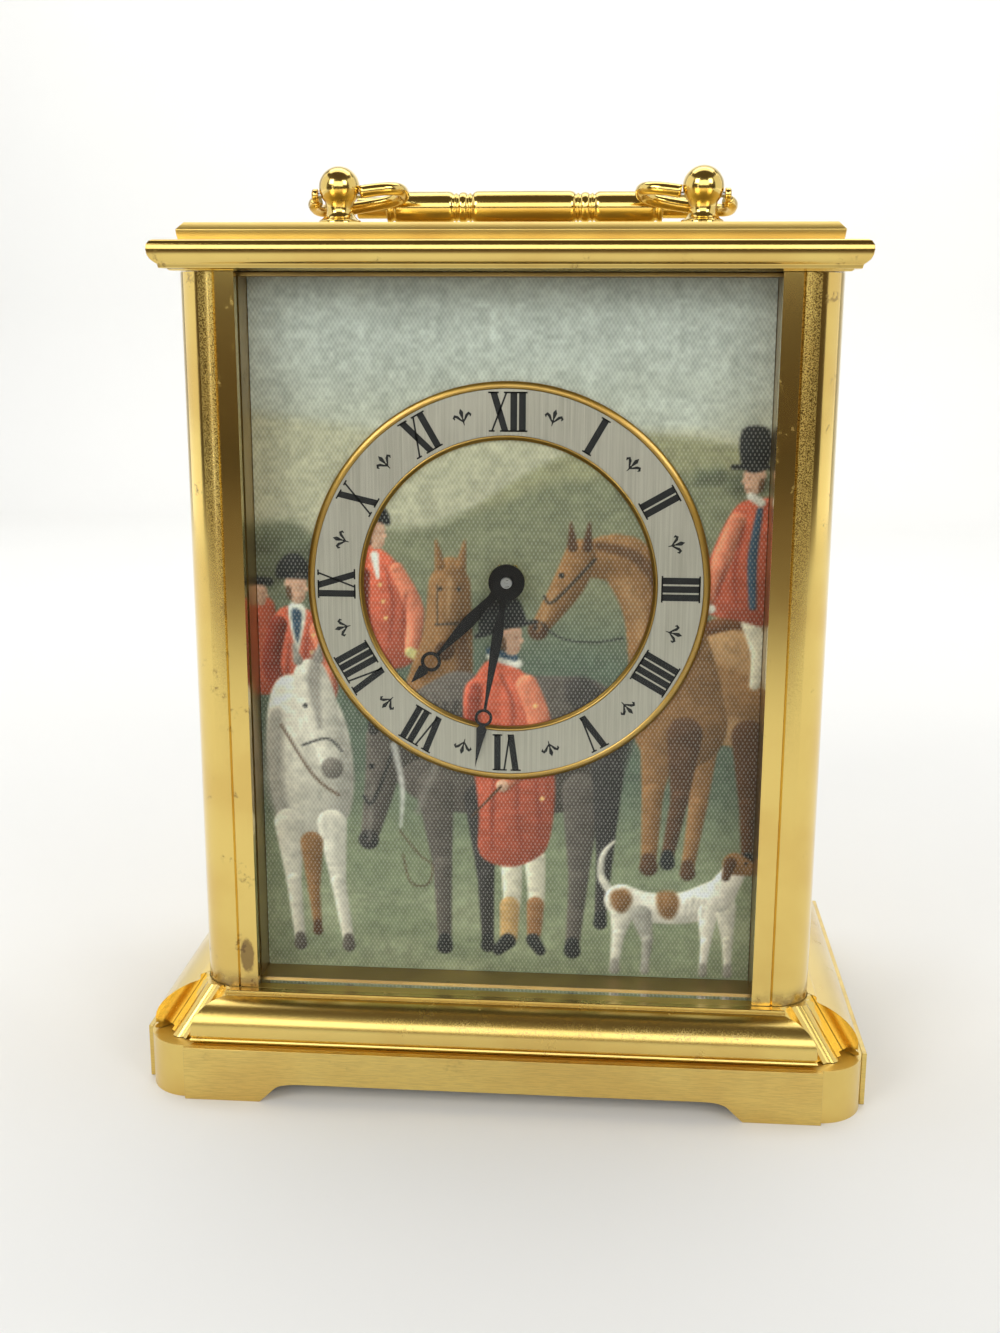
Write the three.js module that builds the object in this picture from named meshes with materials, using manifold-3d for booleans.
import * as THREE from "three";
import { mergeVertices } from "three/addons/utils/BufferGeometryUtils.js";
import Module from "manifold-3d";

const wasm = await Module();
wasm.setup();

// Millimetres, X to the right, front facing -Y, Z up, origin under the middle of the base.

// ---- driving dimensions ----
const gap = 0.1;                 // clearance left between neighbouring pieces

const plinthX = 69;              // half width of the plinth casting
const plinthY = 46.5;            // half depth of the plinth casting
const plinthRound = 8.5;
const plinthTop = 10.7;
const plinthWall = 2.2;
const plinthRoof = 1.3;
const panelThick = 1;
const frontPanelHalf = 60.7;
const sidePanelHalf = 38.8;
const footLength = 14.6;         // from a panel's end to the foot cut-out
const archHeight = 3.85;
const archSlope = 3;
const archRound = 5;

const columnX = 59.1;            // outer face of the columns, sideways
const columnY = 38.2;            // outer face of the columns, to the front and back
const columnRound = 7.4;
const columnBottom = 19.5;
const columnTop = 155.1;
const stripX = 47.8;             // inner edge of the flat strip on the front of a column
const stripY = 27.1;             // inner edge of the flat strip on its side
const columnWall = 1.8;
const roundX = columnX - columnRound;
const roundY = columnY - columnRound;

const coreTop = 19.4;
const ledge = 1.6;
const frontReach = 7.3;          // how far the base moulding stands out at the front and back
const sideReach = 8.9;
const strutHalf = 2.65;
const strutRoll = 1.6;           // half width of the rounded ridge along a corner strut
const strutRise = 0.75;          // and its height
const cornerHalf = 4.75;         // half of the space between two mouldings at a corner

const cornerDiagonal = cornerHalf * Math.SQRT2;
const frontEnd = roundX - roundY - cornerDiagonal + columnY;
const sideEnd = columnX - (roundX - roundY) - cornerDiagonal;

const hubZ = 99.3;               // height of the hands' arbor
const ringZ = 98.2;              // height of the chapter ring's centre
const ringOuter = 37.9;
const ringInner = 27.2;
const silverOuter = 36.9;
const silverInner = 28.1;

const glassFront = -36.3;
const glassBack = -34.3;
const clothFront = -28.1;
const clothBack = -27.6;
const boardBack = -25.3;
const boxInner = 48;
const boxOuter = 49.2;
const boxFloor = 19.9;
const boxCeiling = 154.4;
const boardHole = 3.3;

const postX = 35.6;
const pinZ = 170.7;              // height of the handle's pivot
const pinRadius = 0.6;
const ballZ = 172.2;
const ballRadius = 4;
const neckRadius = 2.6;
const flangeRadius = 4.2;
const studRadius = 1.6;
const plateTop = 163.5;

const armX = 32.6;               // centre of each oval arm
const armY = 5.1;
const armZ = 170.2;
const armHalfWidth = 8.85;
const armHalfDepth = 5.4;
const armRadius = 1.25;
const armSquareness = 0.7;       // 1 makes a plain oval, less makes its front and back straighter
const armFallOut = 0.155;        // how far the arm falls per millimetre outward
const armFallBack = 0.17;        // and per millimetre backward
const armGap = 4.2;              // from the post's middle to each end of the open arm
const pinReach = 5.3;
const gripY = 14.6;
const gripZ = 169.35;
const barrelRadius = 3.3;
const lugX = 36.5;
const lugRadius = 1.9;
const spigotRadius = 1.2;
const spigotEnd = lugX + lugRadius - 0.1;

const shellX = 30;
const shellTop = hubZ + 30;
const shellMid = hubZ - 30;
const shellBottom = 36.3;
const shellFront = -25.2;
const shellBack = -4;
const shellWall = 1.6;
const bushOuter = 2.7;
const bushInner = 2.25;
const bushFront = -29;
const pipeOuter = 2.1;
const pipeInner = 1.25;
const arborRadius = 1.05;
const gearModule = 0.5;
const pinionTeeth = 10;
const minuteWheelTeeth = 30;
const minutePinionTeeth = 8;
const hourWheelTeeth = 32;
const wheelSpacing = gearModule * (pinionTeeth + minuteWheelTeeth) / 2;
const cellRadius = 12.9;
const cellHalf = 24.5;
const cellY = -10.5;
const cellZ = 52.9;

const doorLeft = -44.3;
const doorRight = 45.8;
const doorBottom = 24;
const doorTop = 151;
const doorFront = 36.5;
const doorBack = 37.7;
const hingeX = -45.6;
const hingeY = 37.45;
const hingeRadius = 1;
const frameFront = 34.8;
const frameBack = 36.3;

const part = new THREE.Group();

// ---- helpers ----
function material(color, metalness, roughness, opacity = 1) {
  return new THREE.MeshStandardMaterial({
    color, metalness, roughness, opacity, transparent: opacity < 1,
  });
}
const brass = () => material(0xd8ac4e, 1, 0.25);
const satinBrass = () => material(0xcfa54d, 1, 0.4);
const steel = () => material(0xb9bcc0, 1, 0.35);
const black = () => material(0x111113, 0.2, 0.4);
const plastic = () => material(0x2b2a28, 0, 0.5);

function add(name, geometry, look) {
  const mesh = new THREE.Mesh(geometry, look);
  mesh.name = name;
  part.add(mesh);
}

function solid(geometry) {
  const bare = geometry.clone();
  bare.deleteAttribute("normal");
  bare.deleteAttribute("uv");
  const merged = mergeVertices(bare, 1e-4);
  const mesh = new wasm.Mesh({
    numProp: 3,
    vertProperties: new Float32Array(merged.attributes.position.array),
    triVerts: new Uint32Array(merged.index.array),
  });
  return new wasm.Manifold(mesh);
}

function surface(body) {
  const mesh = body.getMesh();
  const geometry = new THREE.BufferGeometry();
  geometry.setAttribute("position", new THREE.BufferAttribute(mesh.vertProperties, 3));
  geometry.setIndex(new THREE.BufferAttribute(mesh.triVerts, 1));
  geometry.computeVertexNormals();
  return geometry;
}

function combine(base, added = [], removed = []) {
  let body = solid(base);
  for (const geometry of added) body = body.add(solid(geometry));
  for (const geometry of removed) body = body.subtract(solid(geometry));
  return surface(body);
}

function block(x0, x1, y0, y1, z0, z1) {
  const geometry = new THREE.BoxGeometry(x1 - x0, y1 - y0, z1 - z0);
  return geometry.translate((x0 + x1) / 2, (y0 + y1) / 2, (z0 + z1) / 2);
}

function rodX(radius, x0, x1, y, z, sides = 16) {
  const geometry = new THREE.CylinderGeometry(radius, radius, x1 - x0, sides);
  return geometry.rotateZ(Math.PI / 2).translate((x0 + x1) / 2, y, z);
}

function rodY(radius, y0, y1, x, z, sides = 20) {
  const geometry = new THREE.CylinderGeometry(radius, radius, y1 - y0, sides);
  return geometry.translate(x, (y0 + y1) / 2, z);
}

function rodZ(radius, z0, z1, x, y, sides = 20) {
  const geometry = new THREE.CylinderGeometry(radius, radius, z1 - z0, sides);
  return geometry.rotateX(Math.PI / 2).translate(x, y, (z0 + z1) / 2);
}

function polygon(points) {
  return new THREE.Shape(points.map(([a, b]) => new THREE.Vector2(a, b)));
}

function rise(shape, z0, z1, curveSegments = 8) {
  const settings = { depth: z1 - z0, bevelEnabled: false, curveSegments };
  return new THREE.ExtrudeGeometry(shape, settings).translate(0, 0, z0);
}

// A shape drawn in X and Z, filled between two values of Y.
function facing(shape, y0, y1, curveSegments = 10) {
  return rise(shape, 0, y1 - y0, curveSegments).rotateX(Math.PI / 2).translate(0, y1, 0);
}

// A shape drawn in Y and Z, filled between two values of X.
function sideways(shape, x0, x1, curveSegments = 5) {
  const upright = rise(shape, 0, x1 - x0, curveSegments).rotateX(Math.PI / 2);
  return upright.rotateZ(Math.PI / 2).translate(x0, 0, 0);
}

function lathe(profile, sides = 20) {
  const points = profile.map(([radius, along]) => new THREE.Vector2(radius, along));
  return new THREE.LatheGeometry(points, sides);
}

function roundedRectangle(halfX, halfY, radius) {
  const shape = new THREE.Shape();
  shape.moveTo(halfX, -halfY + radius);
  shape.lineTo(halfX, halfY - radius);
  shape.absarc(halfX - radius, halfY - radius, radius, 0, Math.PI / 2);
  shape.lineTo(-halfX + radius, halfY);
  shape.absarc(-halfX + radius, halfY - radius, radius, Math.PI / 2, Math.PI);
  shape.lineTo(-halfX, -halfY + radius);
  shape.absarc(-halfX + radius, -halfY + radius, radius, Math.PI, 1.5 * Math.PI);
  shape.lineTo(halfX - radius, -halfY);
  shape.absarc(halfX - radius, -halfY + radius, radius, 1.5 * Math.PI, 2 * Math.PI);
  return shape;
}

function rectangle(x0, x1, y0, y1) {
  return polygon([[x0, y0], [x1, y0], [x1, y1], [x0, y1]]);
}

function ring(outer, inner, centreZ) {
  const shape = new THREE.Shape();
  shape.absarc(0, centreZ, outer, 0, 2 * Math.PI);
  const hole = new THREE.Path();
  hole.absarc(0, centreZ, inner, 0, 2 * Math.PI, true);
  shape.holes.push(hole);
  return shape;
}

// Mirrors a geometry across the YZ or XZ plane, keeping its faces outward.
function mirrored(geometry, flipX, flipY) {
  const copy = geometry.clone().scale(flipX ? -1 : 1, flipY ? -1 : 1, 1);
  if (flipX === flipY) return copy;
  const flipped = copy.index ? copy.toNonIndexed() : copy;
  const position = flipped.attributes.position;
  const swap = new THREE.Vector3();
  const other = new THREE.Vector3();
  for (let i = 0; i < position.count; i += 3) {
    swap.fromBufferAttribute(position, i + 1);
    other.fromBufferAttribute(position, i + 2);
    position.setXYZ(i + 1, other.x, other.y, other.z);
    position.setXYZ(i + 2, swap.x, swap.y, swap.z);
  }
  flipped.computeVertexNormals();
  return flipped;
}

// A closed stack of rectangles: each level is [how far it stands out, height].
function steppedBlock(halfX, halfY, levels) {
  const vertices = [];
  for (const [out, z] of levels) {
    const x = halfX + out;
    const y = halfY + out;
    vertices.push(-x, -y, z, x, -y, z, x, y, z, -x, y, z);
  }
  const faces = [0, 2, 1, 0, 3, 2];
  const last = (levels.length - 1) * 4;
  faces.push(last, last + 1, last + 2, last, last + 2, last + 3);
  for (let level = 0; level + 1 < levels.length; level++) {
    for (let side = 0; side < 4; side++) {
      const a = level * 4 + side;
      const b = level * 4 + (side + 1) % 4;
      faces.push(a, b, b + 4, a, b + 4, a + 4);
    }
  }
  const geometry = new THREE.BufferGeometry();
  geometry.setAttribute("position", new THREE.Float32BufferAttribute(vertices, 3));
  geometry.setIndex(faces);
  return geometry;
}

// ---- plinth ----

// Adds the outline of the cut-out between two feet, from left to right, to a shape.
function followArch(shape, start) {
  shape.lineTo(-start, 0);
  shape.lineTo(-start + archSlope, archSlope * 0.95);
  shape.quadraticCurveTo(-start + archSlope + 1, archHeight, -start + archSlope + archRound, archHeight);
  shape.lineTo(start - archSlope - archRound, archHeight);
  shape.quadraticCurveTo(start - archSlope - 1, archHeight, start - archSlope, archSlope * 0.95);
  shape.lineTo(start, 0);
}

function footCut(halfLength) {
  const shape = new THREE.Shape();
  const start = halfLength - footLength;
  shape.moveTo(-start, -1);
  followArch(shape, start);
  shape.lineTo(start, -1);
  return shape;
}

const padRadius = 4.5;
const padThick = 1.2;
const padWall = 1.5;             // metal left around a foot pad's socket
const screwX = 40;
const screwBoss = 3.2;
const screwHole = 1.3;
const plateBottom = 4;           // the thin plate that closes the plinth from below
const plateThick = 1.1;

function plinthFrame() {
  const outer = rise(roundedRectangle(plinthX, plinthY, plinthRound), 0, plinthTop);
  const hollow = roundedRectangle(plinthX - plinthWall, plinthY - plinthWall, plinthRound - plinthWall);
  const cavity = rise(hollow, -1, plinthTop - plinthRoof);
  const added = [];
  const removed = [
    facing(footCut(frontPanelHalf), -plinthY - 1, plinthY + 1, 3),
    sideways(footCut(sidePanelHalf), -plinthX - 1, plinthX + 1, 3),
  ];
  for (const sx of [-1, 1]) {
    for (const sy of [-1, 1]) {
      const x = sx * (plinthX - plinthRound);
      const y = sy * (plinthY - plinthRound);
      added.push(rodZ(padRadius + padWall, 0, plinthTop - plinthRoof + 0.2, x, y));
      removed.push(rodZ(padRadius + gap, -1, padThick + gap, x, y));
    }
    const bossBottom = plateBottom + plateThick + 2 * gap;
    added.push(rodZ(screwBoss, bossBottom, plinthTop - plinthRoof + 0.2, sx * screwX, 0));
    removed.push(rodZ(screwHole, bossBottom - 1, 9, sx * screwX, 0));
  }
  const hollowed = combine(outer, [], [cavity]);
  return combine(hollowed, added, removed);
}

function panelShape(halfLength) {
  const shape = new THREE.Shape();
  shape.moveTo(-halfLength, 0);
  followArch(shape, halfLength - footLength);
  shape.lineTo(halfLength, 0);
  shape.lineTo(halfLength, plinthTop);
  shape.lineTo(-halfLength, plinthTop);
  return shape;
}

add("plinth_frame", plinthFrame(), satinBrass());
const panelFront = facing(panelShape(frontPanelHalf), -plinthY - panelThick, -plinthY - 0.05, 5);
const panelRight = sideways(panelShape(sidePanelHalf), plinthX + 0.05, plinthX + panelThick);
add("plinth_panel_front", panelFront, brass());
add("plinth_panel_back", mirrored(panelFront, false, true), brass());
add("plinth_panel_right", panelRight, brass());
add("plinth_panel_left", mirrored(panelRight, true, false), brass());

for (const [side, sx] of [["left", -1], ["right", 1]]) {
  for (const [end, sy] of [["front", -1], ["back", 1]]) {
    const x = sx * (plinthX - plinthRound);
    const y = sy * (plinthY - plinthRound);
    add(`foot_pad_${end}_${side}`, rodZ(padRadius, 0, padThick, x, y), material(0x2a3a2c, 0, 0.95));
  }
}

function bottomPlate() {
  const clearance = 0.4;
  const notch = plinthRound + padRadius + padWall + clearance;
  const x = plinthX - plinthWall - clearance;
  const y = plinthY - plinthWall - clearance;
  const notchX = plinthX - notch;
  const notchY = plinthY - notch;
  const outline = polygon([
    [-notchX, -y], [notchX, -y], [notchX, -notchY], [x, -notchY], [x, notchY], [notchX, notchY],
    [notchX, y], [-notchX, y], [-notchX, notchY], [-x, notchY], [-x, -notchY], [-notchX, -notchY],
  ]);
  const holes = [-1, 1].map((sx) => rodZ(screwHole + 0.2, 0, plinthTop, sx * screwX, 0));
  return combine(rise(outline, plateBottom, plateBottom + plateThick), [], holes);
}
add("bottom_plate", bottomPlate(), steel());

for (const [side, sx] of [["left", -1], ["right", 1]]) {
  const profile = [[0, 2.6], [0.9, 2.6], [2.4, 3.3], [2.4, 3.9], [1.15, 3.9], [1.15, 8.8], [0, 8.8]];
  const screw = lathe(profile, 12).rotateX(Math.PI / 2).translate(sx * screwX, 0, 0);
  add(`bottom_screw_${side}`, screw, steel());
}

// ---- base moulding, drawn as [distance out from the column face, height] ----
function mouldingProfile(reach) {
  const beadRadius = 0.5;
  const beadZ = 11.4;
  const bandTop = 13.4;
  const domeTop = 18.3;
  const step = 0.3;
  const points = [[0, plinthTop + gap], [reach - 0.35, plinthTop + gap]];
  for (let i = 0; i <= 4; i++) {
    const angle = -Math.PI / 2 + Math.PI * i / 4;
    points.push([reach - step + beadRadius * Math.cos(angle), beadZ + beadRadius * Math.sin(angle)]);
  }
  points.push([reach - 0.4, beadZ + 0.65], [reach, beadZ + 0.85], [reach, bandTop]);
  const across = reach - ledge - step;
  const up = domeTop - bandTop;
  for (let i = 1; i <= 8; i++) {
    const angle = Math.PI / 2 * i / 8;
    points.push([ledge + step + across * Math.cos(angle), bandTop + up * Math.sin(angle)]);
  }
  points.push([ledge, domeTop + 0.2], [ledge, coreTop - 0.15], [ledge - 0.15, coreTop], [0, coreTop]);
  return points;
}

// The ends follow the 45 degree lines of the corner, so each point's length grows with its reach.
function moulding(face, reach, endLength) {
  const start = face + gap;
  const outline = polygon(mouldingProfile(reach - gap).map(([out, z]) => [start + out, z]));
  const bar = sideways(outline, 0, 1);
  const position = bar.attributes.position;
  for (let i = 0; i < position.count; i++) {
    const out = position.getY(i) - face;
    const half = endLength + out;
    position.setX(i, position.getX(i) > 0.5 ? half : -half);
  }
  return bar;
}
const backMoulding = moulding(columnY, frontReach, frontEnd);
const leftMoulding = moulding(columnX, sideReach, sideEnd).rotateZ(Math.PI / 2);
add("base_moulding_front", mirrored(backMoulding, false, true), brass());
add("base_moulding_back", backMoulding, brass());
add("base_moulding_left", leftMoulding, brass());
add("base_moulding_right", mirrored(leftMoulding, true, false), brass());

// ---- corner struts: a sloping bar with a rounded ridge between two flats ----
const strutInner = columnRound + 0.15;
const strutOuter = 16;

function cornerStrut() {
  const drop = coreTop - plinthTop - gap;
  const run = strutOuter - strutInner - 0.4;
  const slope = Math.atan2(drop, run);
  const half = cornerHalf - gap;
  const rollRadius = (strutRoll ** 2 + strutRise ** 2) / (2 * strutRise);
  const rollStart = Math.acos(strutRoll / rollRadius);
  const floor = -14;               // below the part that the block keeps
  const shoulder = -0.9;
  const section = new THREE.Shape();
  section.moveTo(-half, floor);
  section.lineTo(half, floor);
  section.lineTo(half, shoulder);
  section.lineTo(strutHalf, shoulder);
  section.lineTo(strutHalf, 0);
  section.lineTo(strutRoll, 0);
  section.absarc(0, strutRise - rollRadius, rollRadius, rollStart, Math.PI - rollStart);
  section.lineTo(-strutHalf, 0);
  section.lineTo(-strutHalf, shoulder);
  section.lineTo(-half, shoulder);
  const bar = rise(section, -20, 40, 6);
  // the bar's length runs outward and down from the column's foot
  bar.rotateX(Math.PI / 2).rotateZ(-Math.PI / 2).scale(-1, -1, 1);
  bar.rotateY(slope).translate(strutInner + 0.4, 0, coreTop);
  let body = solid(bar);
  body = body.intersect(solid(block(0, 30, -20, 20, plinthTop + gap, coreTop)));
  body = body.subtract(solid(rodZ(strutInner, 0, 40, 0, 0, 48)));
  return surface(body).rotateZ(-Math.PI / 4).translate(roundX, -roundY, 0);
}
const strutFrontRight = cornerStrut();
add("corner_strut_front_right", strutFrontRight, brass());
add("corner_strut_front_left", mirrored(strutFrontRight, true, false), brass());
add("corner_strut_back_right", mirrored(strutFrontRight, false, true), brass());
add("corner_strut_back_left", mirrored(strutFrontRight, true, true), brass());

function baseCore() {
  const wall = 2;
  const roof = 1.6;
  const outer = rise(roundedRectangle(columnX, columnY, columnRound), plinthTop + gap, coreTop, 8);
  const hollow = roundedRectangle(columnX - wall, columnY - wall, columnRound - wall);
  return combine(outer, [], [rise(hollow, plinthTop - 1, coreTop - roof, 8)]);
}
add("base_core", baseCore(), brass());

// ---- columns ----
function column() {
  const groove = 0.35;
  const shape = new THREE.Shape();
  shape.moveTo(stripX, -columnY);
  shape.lineTo(roundX - 0.45, -columnY);
  shape.lineTo(roundX - 0.25, -columnY + groove);
  shape.lineTo(roundX, -columnY + 0.02);
  shape.absarc(roundX, -roundY, columnRound, -Math.PI / 2, 0);
  shape.lineTo(columnX - 0.02, -roundY);
  shape.lineTo(columnX - groove, -roundY + 0.25);
  shape.lineTo(columnX, -roundY + 0.45);
  shape.lineTo(columnX, -stripY);
  shape.lineTo(columnX - columnWall, -stripY);
  shape.lineTo(columnX - columnWall, -roundY);
  shape.absarc(roundX, -roundY, columnRound - columnWall, 0, -Math.PI / 2, true);
  shape.lineTo(stripX, -columnY + columnWall);
  return rise(shape, columnBottom, columnTop);
}
const columnFrontRight = column();
add("column_front_right", columnFrontRight, brass());
add("column_front_left", mirrored(columnFrontRight, true, false), brass());
add("column_back_right", mirrored(columnFrontRight, false, true), brass());
add("column_back_left", mirrored(columnFrontRight, true, true), brass());

// ---- glass, side panels and back ----
const innerX = columnX - columnWall - gap;
const paneHalf = 51;
const sideHalf = 30.5;
const sideThick = 1.3;
const pane = block(-paneHalf, paneHalf, glassFront, glassBack, columnBottom + 0.05, columnTop);
const sidePanel = block(innerX - sideThick, innerX, -sideHalf, sideHalf, columnBottom, columnTop);
add("front_glass", pane, material(0xe8f0ee, 0, 0.05, 0.25));
add("side_panel_left", mirrored(sidePanel, true, false), brass());
add("side_panel_right", sidePanel, brass());

const knobX = 39;
const knobZ = 87.5;
const knobShank = 1.2;
const knuckles = [[46, 50], [54.2, 58], [117, 121], [125.2, 129]];
const doorKnuckles = [[50.2, 54], [121.2, 125]];

function backFrame() {
  const shape = rectangle(-paneHalf, paneHalf, columnBottom, columnTop);
  shape.holes.push(rectangle(-36, 36, 34, 140));
  const added = [];
  for (const [z0, z1] of knuckles) {
    added.push(rodZ(hingeRadius, z0, z1, hingeX, hingeY, 16));
    added.push(block(hingeX - hingeRadius, hingeX, frameBack - 0.2, hingeY, z0, z1));
  }
  return combine(facing(shape, frameFront, frameBack), added);
}
add("back_frame", backFrame(), satinBrass());

function backDoor() {
  const plate = facing(rectangle(doorLeft, doorRight, doorBottom, doorTop), doorFront, doorBack);
  const added = [];
  for (const [z0, z1] of doorKnuckles) {
    added.push(rodZ(hingeRadius, z0, z1, hingeX, hingeY, 16));
    added.push(block(hingeX, doorLeft + 0.2, doorFront, doorBack, z0, z1));
  }
  return combine(plate, added, [rodY(knobShank + gap, doorFront - 1, doorBack + 1, knobX, knobZ, 20)]);
}
add("back_door", backDoor(), satinBrass());

const knobProfile = [
  [0, 36.4], [knobShank, 36.4], [knobShank, 38.8], [1.6, 39.2], [1.6, 40], [3.2, 40.9], [3.8, 42],
  [3.6, 43.2], [2.6, 44], [0, 44.2],
];
add("door_knob", lathe(knobProfile).translate(knobX, 0, knobZ), brass());

// ---- dial ----
function shadowBox() {
  const shape = rectangle(-boxOuter, boxOuter, columnBottom, columnTop - 0.05);
  shape.holes.push(rectangle(-boxInner, boxInner, boxFloor, boxCeiling));
  return facing(shape, glassBack + gap, clothBack);
}
add("shadow_box", shadowBox(), brass());

function drilledPlate(halfX, z0, z1, y0, y1, holeRadius) {
  const shape = rectangle(-halfX, halfX, z0, z1);
  const hole = new THREE.Path();
  hole.absarc(0, hubZ, holeRadius, 0, 2 * Math.PI, true);
  shape.holes.push(hole);
  return facing(shape, y0, y1);
}
const board = drilledPlate(boxOuter, columnBottom, columnTop - 0.05, clothBack + 0.05, boardBack, boardHole);
add("dial_board", board, material(0x8a6a44, 0, 0.9));
const clothX = boxInner - gap;
const cloth = drilledPlate(clothX, boxFloor + 0.05, boxCeiling - 0.05, clothFront, clothBack, boardHole);
add("picture_panel", cloth, material(0x8d9a82, 0, 0.9));

const ringFront = -28.85;
const silverThick = 0.18;

function chapterRing() {
  const back = clothFront - 0.05;
  const bevel = 0.35;
  const lip = 0.15;
  const profile = [
    [ringInner, back], [ringOuter, back], [ringOuter, ringFront + bevel], [ringOuter - 0.2, ringFront - lip],
    [silverOuter + 0.1, ringFront - lip], [silverOuter + 0.05, ringFront], [silverInner - 0.05, ringFront],
    [silverInner - 0.1, ringFront - lip], [ringInner + 0.5, ringFront - lip], [ringInner, ringFront + bevel],
    [ringInner, back],
  ];
  return lathe(profile.reverse(), 56).translate(0, 0, ringZ);
}
add("chapter_ring", chapterRing(), brass());
const faceBack = ringFront - 0.02;
const face = facing(ring(silverOuter, silverInner, ringZ), faceBack - silverThick, faceBack, 32);
add("chapter_face", face, material(0xc9ccc8, 0.9, 0.4));

const nutRadius = 3.4;
const nutCorners = [];
for (let corner = 0; corner < 6; corner++) {
  const angle = Math.PI / 3 * corner;
  nutCorners.push([nutRadius * Math.cos(angle), hubZ + nutRadius * Math.sin(angle)]);
}
const nutOutline = polygon(nutCorners);
const nutBore = new THREE.Path();
nutBore.absarc(0, hubZ, bushOuter + 0.05, 0, 2 * Math.PI, true);
nutOutline.holes.push(nutBore);
add("bushing_nut", facing(nutOutline, -28.95, clothFront - 0.05), brass());

// ---- hands, each drawn pointing up and then turned clockwise ----
function handGeometry(hand) {
  const shape = new THREE.Shape();
  const side = [[hand.boss * 0.35, hand.boss * 0.9], ...hand.side];
  shape.moveTo(side[0][0], side[0][1]);
  for (const [x, z] of side.slice(1)) shape.lineTo(x, z);
  shape.lineTo(0, hand.tip);
  for (const [x, z] of [...side].reverse()) shape.lineTo(-x, z);
  const blade = facing(shape, hand.front, hand.back);
  const thick = hand.back - hand.front;
  const loop = rodY(hand.loop, hand.front, hand.back, 0, hand.loopAt);
  const boss = rodY(hand.boss, hand.front - hand.bossRise, hand.back, 0, 0, 28);
  const holes = [
    rodY(hand.loopHole, hand.front - thick, hand.back + thick, 0, hand.loopAt),
    rodY(hand.bore, hand.front - 3, hand.back + 3, 0, 0),
  ];
  const whole = combine(blade, [loop, boss], holes);
  return whole.rotateY(THREE.MathUtils.degToRad(hand.degrees)).translate(0, 0, hubZ);
}
const hourHand = {
  boss: 2.9, bossRise: 0, bore: pipeOuter + 0.05, tip: 27, loopAt: 21.3, loop: 1.95, loopHole: 1.3,
  side: [[0.7, 4.5], [1.2, 10.5], [0.95, 13.5], [0.35, 18.5], [0.3, 22.5], [1.1, 23.4], [0.75, 24.8]],
  front: -29.85, back: -29.5, degrees: 222.6,
};
const minuteHand = {
  boss: 3.4, bossRise: 0.45, bore: arborRadius + 0.05, tip: 36.6, loopAt: 26.6, loop: 1.7, loopHole: 1.15,
  side: [[0.5, 5], [1.05, 10], [0.9, 14], [0.3, 23], [0.3, 28], [1, 28.9], [0.6, 31.5]],
  front: -30.65, back: -30.3, degrees: 189.3,
};
add("hour_hand", handGeometry(hourHand), black());
add("minute_hand", handGeometry(minuteHand), black());

// ---- movement ----
function gear(teeth, y0, y1, x, z, phase, boreRadius = 0) {
  const pitch = gearModule * teeth / 2;
  const root = pitch - 1.2 * gearModule;
  const tip = pitch + 0.85 * gearModule;
  const corners = [];
  const step = 2 * Math.PI / teeth;
  for (let tooth = 0; tooth < teeth; tooth++) {
    const middle = phase + tooth * step;
    for (const [radius, aside] of [[root, -0.22], [tip, -0.07], [tip, 0.07], [root, 0.22]]) {
      const angle = middle + aside * step;
      corners.push([x + radius * Math.cos(angle), z + radius * Math.sin(angle)]);
    }
  }
  const shape = polygon(corners);
  if (boreRadius > 0) {
    const bore = new THREE.Path();
    bore.absarc(x, z, boreRadius, 0, 2 * Math.PI, true);
    shape.holes.push(bore);
  }
  return facing(shape, y0, y1, 8);
}

const studZ = hubZ - wheelSpacing;

function movementShell() {
  const outer = block(-shellX, shellX, shellFront, shellBack, shellBottom, shellTop);
  const inX = shellX - shellWall;
  const inFront = shellFront + shellWall;
  const added = [
    rodY(bushOuter, bushFront, shellFront + 0.5, 0, hubZ),
    rodY(0.8, inFront - 0.5, -19.9, 0, studZ, 16),
  ];
  const upper = block(-inX, inX, inFront, 0, shellMid, shellTop - shellWall);
  const lower = block(-inX, inX, inFront, 0, shellBottom + shellWall, shellMid - shellWall);
  const hollow = combine(outer, [], [upper, lower]);
  return combine(hollow, added, [rodY(bushInner, bushFront - 1, -20, 0, hubZ)]);
}
add("movement_shell", movementShell(), plastic());

const coverBack = -2.3;
const coverHole = 1.4;
const regulatorX = 15;
const regulatorZ = hubZ + 16;
function movementCover() {
  const plate = block(-shellX, shellX, shellBack + gap, coverBack, shellMid - 1.5, shellTop);
  return combine(plate, [], [
    rodY(coverHole, shellBack - 1, 0, 0, hubZ, 16),
    rodY(coverHole, shellBack - 1, 0, regulatorX, regulatorZ, 16),
  ]);
}
add("movement_cover", movementCover(), plastic());

function regulatorLever() {
  const front = coverBack + 0.2;
  const back = front + 1;
  const lever = block(-1, 1, front, back, 0, 13);
  const disc = rodY(3.5, front, back, 0, 0);
  const pivot = rodY(coverHole - 0.15, shellBack - 0.6, back - 0.5, 0, 0, 16);
  return combine(lever, [disc, pivot]).translate(regulatorX, 0, regulatorZ);
}
add("regulator_lever", regulatorLever(), steel());

function centreArbor() {
  const shaft = rodY(arborRadius, -31.7, 3, 0, hubZ, 16);
  const pinion = gear(pinionTeeth, -21.6, -20.4, 0, hubZ, -Math.PI / 2);
  return combine(shaft, [pinion, rodY(2.2, -20.3, -19, 0, hubZ)]);
}
add("centre_arbor", centreArbor(), steel());

function hourWheel() {
  const phase = -Math.PI / 2;
  const wheel = gear(hourWheelTeeth, -22.9, -22.1, 0, hubZ, phase, pipeInner);
  const pipe = rodY(pipeOuter, -29.95, -22.5, 0, hubZ);
  const hollow = combine(pipe, [], [rodY(pipeInner, -31, -20, 0, hubZ)]);
  return combine(hollow, [wheel]);
}
add("hour_wheel", hourWheel(), brass());

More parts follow.
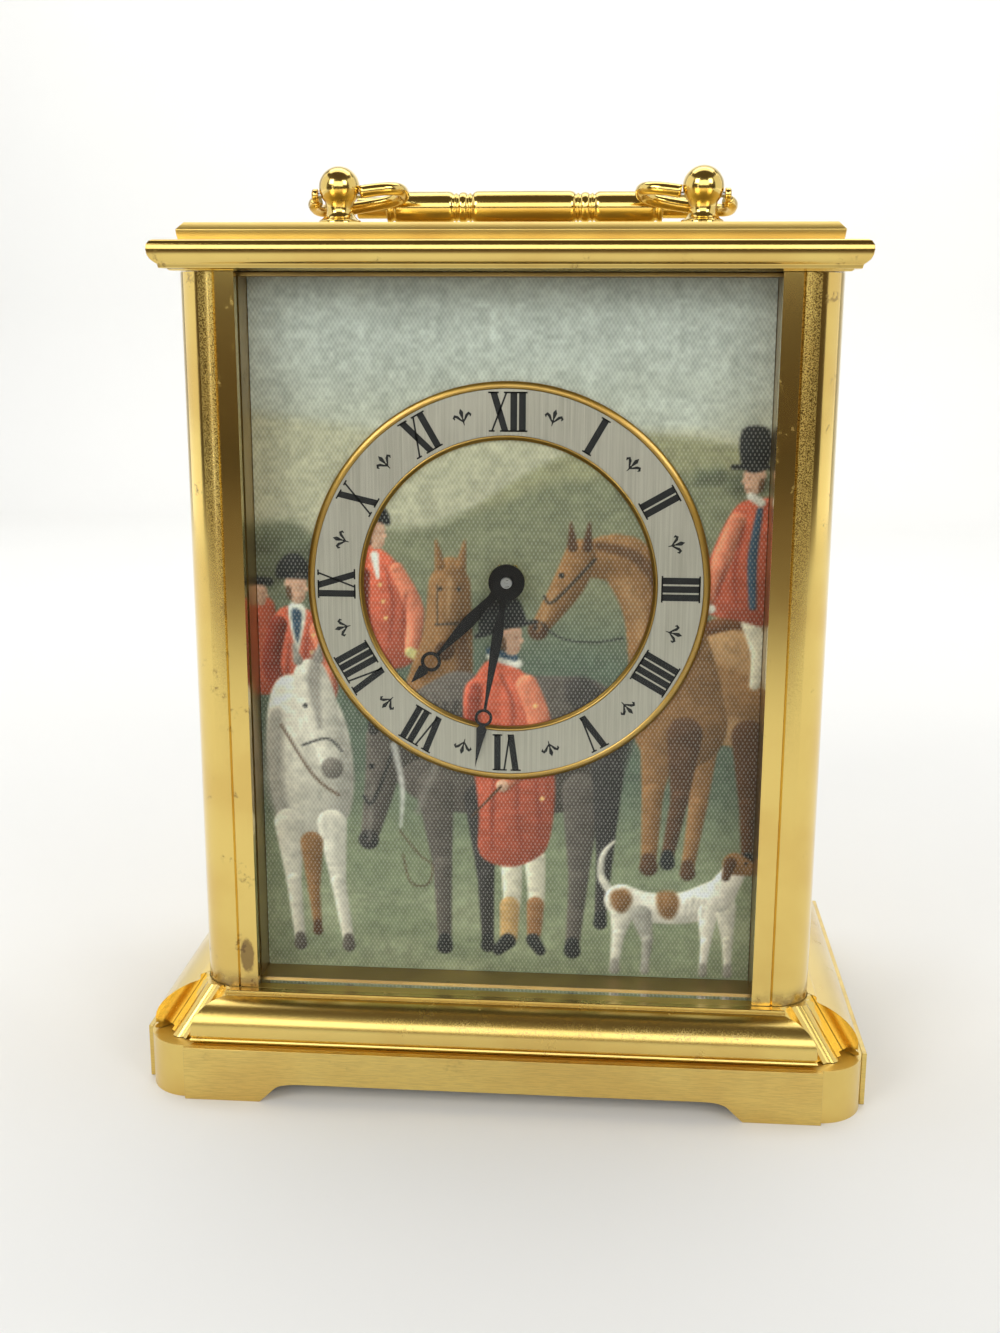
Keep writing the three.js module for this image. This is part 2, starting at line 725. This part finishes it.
function minuteWheel() {
  const gapUp = Math.PI / 2 + Math.PI / minuteWheelTeeth;
  const gapUpPinion = Math.PI / 2 + Math.PI / minutePinionTeeth;
  const wheel = gear(minuteWheelTeeth, -21.5, -20.5, 0, studZ, gapUp, 0.95);
  const pinion = gear(minutePinionTeeth, -23.1, -21.3, 0, studZ, gapUpPinion, 0.95);
  return combine(wheel, [pinion]);
}
add("minute_wheel", minuteWheel(), brass());

function setKnob() {
  const lobes = 16;
  const corners = [];
  for (let i = 0; i < lobes * 2; i++) {
    const angle = Math.PI * i / lobes;
    const radius = i % 2 === 0 ? 7 : 6.5;
    corners.push([radius * Math.cos(angle), hubZ + radius * Math.sin(angle)]);
  }
  const bore = rodY(arborRadius + 0.05, -3, 3.1, 0, hubZ, 16);
  return combine(facing(polygon(corners), -0.8, 4.6), [rodY(3.2, -1.8, 0, 0, hubZ)], [bore]);
}
add("set_knob", setKnob(), plastic());

const cellProfile = [
  [0, -cellHalf], [cellRadius - 1.5, -cellHalf], [cellRadius, -cellHalf + 0.8], [cellRadius, cellHalf - 1.6],
  [cellRadius - 1.8, cellHalf - 0.6], [3.4, cellHalf - 0.6], [3.2, cellHalf + 1], [0, cellHalf + 1],
];
const cell = lathe(cellProfile, 28).rotateZ(-Math.PI / 2).translate(0, cellY, cellZ);
add("battery", cell, material(0x3a3f48, 0.3, 0.4));

function plusContact() {
  const leaf = block(27.7, 28.2, cellY - 8, cellY + 4.5, cellZ - 5, cellZ + 5);
  return combine(leaf, [rodX(2.6, 25.6, 27.8, cellY, cellZ)]);
}
add("contact_plus", plusContact(), steel());

// A coil whose turns narrow towards the battery.
class ConeCoil extends THREE.Curve {
  getPoint(t) {
    const angle = 2 * Math.PI * 3 * t;
    const radius = 5.2 - 2.4 * t;
    const x = -27.8 + 2.7 * t;
    return new THREE.Vector3(x, cellY + radius * Math.cos(angle), cellZ + radius * Math.sin(angle));
  }
}
const wireSection = new THREE.Shape();
wireSection.absarc(0, 0, 0.3, 0, 2 * Math.PI);
const coilSettings = { steps: 36, extrudePath: new ConeCoil(), curveSegments: 3 };
const coil = new THREE.ExtrudeGeometry(wireSection, coilSettings);
add("contact_minus", coil, steel());

// ---- top ----
function drilled(body, bottomZ) {
  const holes = [-1, 1].map((sx) => rodZ(studRadius + 0.15, bottomZ, 170, sx * postX, 0));
  return combine(body, [], holes);
}

const corniceLevels = [
  [0.1, 155.2], [0.5, 155.5], [1.65, 155.6], [1.8, 156.3], [2.15, 156.5], [2.8, 157.1], [3.15, 157.8],
  [3.3, 158.7], [3.2, 159.5], [2.85, 160.1], [2.3, 160.4],
];
const cornice = steppedBlock(columnX, columnY, corniceLevels);
add("cornice", drilled(cornice, 158.2), brass());
const topLevels = [
  [-1.25, 160.5], [-1.05, 161.4], [-0.95, 162.2], [-1.05, 162.35], [-2.1, plateTop - 0.05], [-2.2, plateTop],
];
add("top_plate", drilled(steppedBlock(columnX, columnY, topLevels), 150), brass());

function post(x) {
  const points = [
    [0, 158.4], [studRadius, 158.4], [studRadius, plateTop + 0.05], [flangeRadius + 0.4, plateTop + 0.05],
    [flangeRadius + 0.4, plateTop + 0.8], [flangeRadius, 164.8], [flangeRadius, 165.9], [3.3, 166.3],
    [2.75, 167], [neckRadius, 167.8],
  ];
  const start = -Math.acos(neckRadius / ballRadius);
  const steps = 8;
  for (let step = 0; step <= steps; step++) {
    const angle = start + (Math.PI / 2 - start) * step / steps;
    points.push([step === steps ? 0 : ballRadius * Math.cos(angle), ballZ + ballRadius * Math.sin(angle)]);
  }
  const turned = lathe(points).rotateX(Math.PI / 2).translate(x, 0, 0);
  return combine(turned, [], [rodX(pinRadius + 0.15, x - 6, x + 6, 0, pinZ)]);
}
add("handle_post_left", post(-postX), brass());
add("handle_post_right", post(postX), brass());

// ---- handle: grip bar, two open rings and their pivot pins ----
function grip() {
  const full = barrelRadius;
  const groove = full - 0.6;
  const bead = full - 0.25;
  const half = [
    [full, 0], [full - 0.05, 9.9], [groove, 10.6], [bead - 0.1, 10.9], [bead - 0.1, 11.2], [groove, 11.5],
    [bead, 12], [bead, 13], [groove, 13.5], [bead - 0.1, 13.8], [bead - 0.1, 14.1], [groove, 14.4],
    [full - 0.1, 15], [full - 0.15, 26.3], [groove, 26.7], [groove, 27], [bead, 27.2], [bead, 28.1],
    [2.2, 28.2], [2.2, 34.4], [spigotRadius, 34.5], [spigotRadius, spigotEnd], [0, spigotEnd],
  ];
  const other = half.slice(1).reverse().map(([radius, x]) => [radius, -x]);
  return lathe([...other, ...half], 16).rotateZ(-Math.PI / 2).translate(0, gripY, gripZ);
}
add("handle_grip", grip(), brass());

function power(value, exponent) {
  return Math.sign(value) * Math.abs(value) ** exponent;
}

// The angle round the oval at which its middle line reaches a given X.
function angleAt(x) {
  return Math.acos(power((x - armX) / armHalfWidth, 1 / armSquareness));
}

// The arm's middle line: most of an oval, open at the front where the post stands.
class ArmCurve extends THREE.Curve {
  getPoint(t) {
    const from = -angleAt(postX + armGap);
    const to = 2 * Math.PI - angleAt(postX - armGap);
    const angle = from + (to - from) * t;
    const x = armHalfWidth * power(Math.cos(angle), armSquareness);
    const y = armHalfDepth * power(Math.sin(angle), armSquareness);
    return new THREE.Vector3(armX + x, armY + y, armZ - armFallOut * x - armFallBack * y);
  }
}

function ovalArm() {
  const section = new THREE.Shape();
  section.absarc(0, 0, armRadius, 0, 2 * Math.PI);
  const settings = { steps: 24, extrudePath: new ArmCurve(), curveSegments: 5 };
  const ovalBar = new THREE.ExtrudeGeometry(section, settings);
  const rear = armY + armHalfDepth;
  const added = [
    rodX(armRadius, postX + armGap, postX + pinReach + 0.1, 0, pinZ),
    rodY(lugRadius, rear - 0.6, gripY + lugRadius, lugX, gripZ, 16),
  ];
  const removed = [
    block(postX - armGap, postX + armGap, -4, 4, pinZ - 4, pinZ + 4),
    rodX(pinRadius + 0.05, postX - pinReach - 0.05, postX + pinReach + 0.05, 0, pinZ),
    rodX(spigotRadius + 0.05, 20, spigotEnd + 1, gripY, gripZ),
  ];
  return combine(ovalBar, added, removed);
}
const armRight = ovalArm();
add("handle_arm_right", armRight, brass());
add("handle_arm_left", mirrored(armRight, true, false), brass());
add("handle_pin_right", rodX(pinRadius, postX - pinReach, postX + pinReach, 0, pinZ), steel());
add("handle_pin_left", rodX(pinRadius, -postX - pinReach, -postX + pinReach, 0, pinZ), steel());

export default part;
